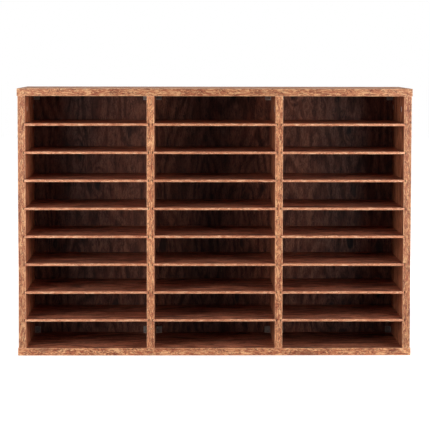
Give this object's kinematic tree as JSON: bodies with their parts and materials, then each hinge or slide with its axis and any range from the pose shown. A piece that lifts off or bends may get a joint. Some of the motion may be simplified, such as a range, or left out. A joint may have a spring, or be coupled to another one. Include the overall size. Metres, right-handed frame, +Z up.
{
  "type": "pigeonhole mail sorter",
  "caption": "Free-standing mail sorter: a board case whose grooved uprights hold loose shelves that pull out forwards, making wide, shallow pigeonholes closed at the rear.",
  "frame": {"origin": "middle of the footprint, on the underside of the bottom board", "axes": "+Z up, +X to the right of someone facing the open front, +Y to the rear; the pigeonholes open towards -Y"},
  "size_m": [0.998, 0.3, 0.678],
  "materials": {
    "board_laminate": "rustic brown wood-grain laminate on particleboard, satin",
    "edge_band": "rustic brown wood-grain edge band, satin",
    "shelf_laminate": "rustic brown wood-grain laminate on thin fibreboard, satin",
    "back_laminate": "dark rustic brown wood-grain print on thin fibreboard, satin",
    "beech_dowel": "plain fluted beech",
    "die_cast_zinc": "bare die-cast zinc, dull",
    "plated_steel": "zinc-plated steel",
    "brace_plastic": "pale grey moulded plastic"
  },
  "bodies": {
    "carcass": {"top_panel": "board_laminate", "bottom_panel": "board_laminate", "side_left": "board_laminate", "divider_1": "board_laminate", "divider_2": "board_laminate", "side_right": "board_laminate", "top_panel_edge_bands": "edge_band", "bottom_panel_edge_bands": "edge_band", "side_left_edge_bands": "edge_band", "divider_1_edge_bands": "edge_band", "divider_2_edge_bands": "edge_band", "side_right_edge_bands": "edge_band", "back_left": "back_laminate", "back_middle": "back_laminate", "back_right": "back_laminate", "cam_locks": "die_cast_zinc", "cam_bolts": "plated_steel", "top_dowels": "beech_dowel", "bottom_dowels": "beech_dowel", "base_screws": "plated_steel", "corner_braces": "brace_plastic", "brace_screws": "plated_steel"},
    "left_shelf_1": {"shelf_left_1": "shelf_laminate"},
    "left_shelf_2": {"shelf_left_2": "shelf_laminate"},
    "left_shelf_3": {"shelf_left_3": "shelf_laminate"},
    "left_shelf_4": {"shelf_left_4": "shelf_laminate"},
    "left_shelf_5": {"shelf_left_5": "shelf_laminate"},
    "left_shelf_6": {"shelf_left_6": "shelf_laminate"},
    "left_shelf_7": {"shelf_left_7": "shelf_laminate"},
    "left_shelf_8": {"shelf_left_8": "shelf_laminate"},
    "middle_shelf_1": {"shelf_middle_1": "shelf_laminate"},
    "middle_shelf_2": {"shelf_middle_2": "shelf_laminate"},
    "middle_shelf_3": {"shelf_middle_3": "shelf_laminate"},
    "middle_shelf_4": {"shelf_middle_4": "shelf_laminate"},
    "middle_shelf_5": {"shelf_middle_5": "shelf_laminate"},
    "middle_shelf_6": {"shelf_middle_6": "shelf_laminate"},
    "middle_shelf_7": {"shelf_middle_7": "shelf_laminate"},
    "middle_shelf_8": {"shelf_middle_8": "shelf_laminate"},
    "right_shelf_1": {"shelf_right_1": "shelf_laminate"},
    "right_shelf_2": {"shelf_right_2": "shelf_laminate"},
    "right_shelf_3": {"shelf_right_3": "shelf_laminate"},
    "right_shelf_4": {"shelf_right_4": "shelf_laminate"},
    "right_shelf_5": {"shelf_right_5": "shelf_laminate"},
    "right_shelf_6": {"shelf_right_6": "shelf_laminate"},
    "right_shelf_7": {"shelf_right_7": "shelf_laminate"},
    "right_shelf_8": {"shelf_right_8": "shelf_laminate"}
  },
  "joints": [
    {"name": "left_shelf_1_slide", "type": "slide", "parent": "carcass", "child": "left_shelf_1", "axis": [0, -1, 0], "range_m": [0, 0.25]},
    {"name": "left_shelf_2_slide", "type": "slide", "parent": "carcass", "child": "left_shelf_2", "axis": [0, -1, 0], "range_m": [0, 0.25]},
    {"name": "left_shelf_3_slide", "type": "slide", "parent": "carcass", "child": "left_shelf_3", "axis": [0, -1, 0], "range_m": [0, 0.25]},
    {"name": "left_shelf_4_slide", "type": "slide", "parent": "carcass", "child": "left_shelf_4", "axis": [0, -1, 0], "range_m": [0, 0.25]},
    {"name": "left_shelf_5_slide", "type": "slide", "parent": "carcass", "child": "left_shelf_5", "axis": [0, -1, 0], "range_m": [0, 0.25]},
    {"name": "left_shelf_6_slide", "type": "slide", "parent": "carcass", "child": "left_shelf_6", "axis": [0, -1, 0], "range_m": [0, 0.25]},
    {"name": "left_shelf_7_slide", "type": "slide", "parent": "carcass", "child": "left_shelf_7", "axis": [0, -1, 0], "range_m": [0, 0.25]},
    {"name": "left_shelf_8_slide", "type": "slide", "parent": "carcass", "child": "left_shelf_8", "axis": [0, -1, 0], "range_m": [0, 0.25]},
    {"name": "middle_shelf_1_slide", "type": "slide", "parent": "carcass", "child": "middle_shelf_1", "axis": [0, -1, 0], "range_m": [0, 0.25]},
    {"name": "middle_shelf_2_slide", "type": "slide", "parent": "carcass", "child": "middle_shelf_2", "axis": [0, -1, 0], "range_m": [0, 0.25]},
    {"name": "middle_shelf_3_slide", "type": "slide", "parent": "carcass", "child": "middle_shelf_3", "axis": [0, -1, 0], "range_m": [0, 0.25]},
    {"name": "middle_shelf_4_slide", "type": "slide", "parent": "carcass", "child": "middle_shelf_4", "axis": [0, -1, 0], "range_m": [0, 0.25]},
    {"name": "middle_shelf_5_slide", "type": "slide", "parent": "carcass", "child": "middle_shelf_5", "axis": [0, -1, 0], "range_m": [0, 0.25]},
    {"name": "middle_shelf_6_slide", "type": "slide", "parent": "carcass", "child": "middle_shelf_6", "axis": [0, -1, 0], "range_m": [0, 0.25]},
    {"name": "middle_shelf_7_slide", "type": "slide", "parent": "carcass", "child": "middle_shelf_7", "axis": [0, -1, 0], "range_m": [0, 0.25]},
    {"name": "middle_shelf_8_slide", "type": "slide", "parent": "carcass", "child": "middle_shelf_8", "axis": [0, -1, 0], "range_m": [0, 0.25]},
    {"name": "right_shelf_1_slide", "type": "slide", "parent": "carcass", "child": "right_shelf_1", "axis": [0, -1, 0], "range_m": [0, 0.25]},
    {"name": "right_shelf_2_slide", "type": "slide", "parent": "carcass", "child": "right_shelf_2", "axis": [0, -1, 0], "range_m": [0, 0.25]},
    {"name": "right_shelf_3_slide", "type": "slide", "parent": "carcass", "child": "right_shelf_3", "axis": [0, -1, 0], "range_m": [0, 0.25]},
    {"name": "right_shelf_4_slide", "type": "slide", "parent": "carcass", "child": "right_shelf_4", "axis": [0, -1, 0], "range_m": [0, 0.25]},
    {"name": "right_shelf_5_slide", "type": "slide", "parent": "carcass", "child": "right_shelf_5", "axis": [0, -1, 0], "range_m": [0, 0.25]},
    {"name": "right_shelf_6_slide", "type": "slide", "parent": "carcass", "child": "right_shelf_6", "axis": [0, -1, 0], "range_m": [0, 0.25]},
    {"name": "right_shelf_7_slide", "type": "slide", "parent": "carcass", "child": "right_shelf_7", "axis": [0, -1, 0], "range_m": [0, 0.25]},
    {"name": "right_shelf_8_slide", "type": "slide", "parent": "carcass", "child": "right_shelf_8", "axis": [0, -1, 0], "range_m": [0, 0.25]}
  ]
}
